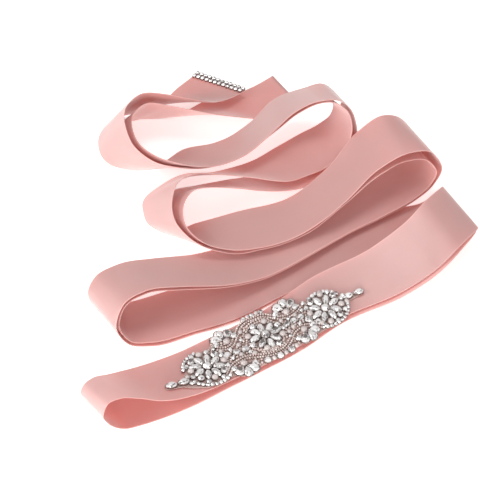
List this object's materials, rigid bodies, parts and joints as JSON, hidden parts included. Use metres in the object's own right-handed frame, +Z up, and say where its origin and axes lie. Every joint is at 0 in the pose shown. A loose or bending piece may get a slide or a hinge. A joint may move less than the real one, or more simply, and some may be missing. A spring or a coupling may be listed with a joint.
{
  "type": "bridal belt",
  "caption": "Satin ribbon sash laid down in loose loops, two halves together, with a stiff beaded applique at its middle and a stone bar across a sewn end.",
  "frame": {"origin": "middle of the belt's box, on the surface it lies on", "axes": "+Z up, -Y the side with the applique, +X to the right when looking along +Y"},
  "size_m": [0.256, 0.3384, 0.0484],
  "materials": {
    "satin": "double-faced satin, soft sheen",
    "net": "stiffened net",
    "stones": "cut stones and pearls in claw settings"
  },
  "bodies": {
    "root": {"upper_front_pass": "satin", "upper_second_pass": "satin", "upper_third_pass": "satin", "upper_fourth_pass": "satin", "upper_fifth_pass": "satin", "upper_sixth_pass": "satin", "upper_end_pass": "satin", "under_front_pass": "satin", "under_second_pass": "satin", "under_third_pass": "satin", "under_fourth_pass": "satin", "under_fifth_pass": "satin", "under_sixth_pass": "satin", "under_end_pass": "satin", "applique_backing": "net", "medallion_left": "stones", "medallion_middle": "stones", "medallion_right": "stones", "cluster_upper_left": "stones", "cluster_upper_right": "stones", "cluster_lower_left": "stones", "cluster_lower_right": "stones", "tip_left": "stones", "tip_right": "stones", "end_bar": "stones"}
  },
  "joints": []
}
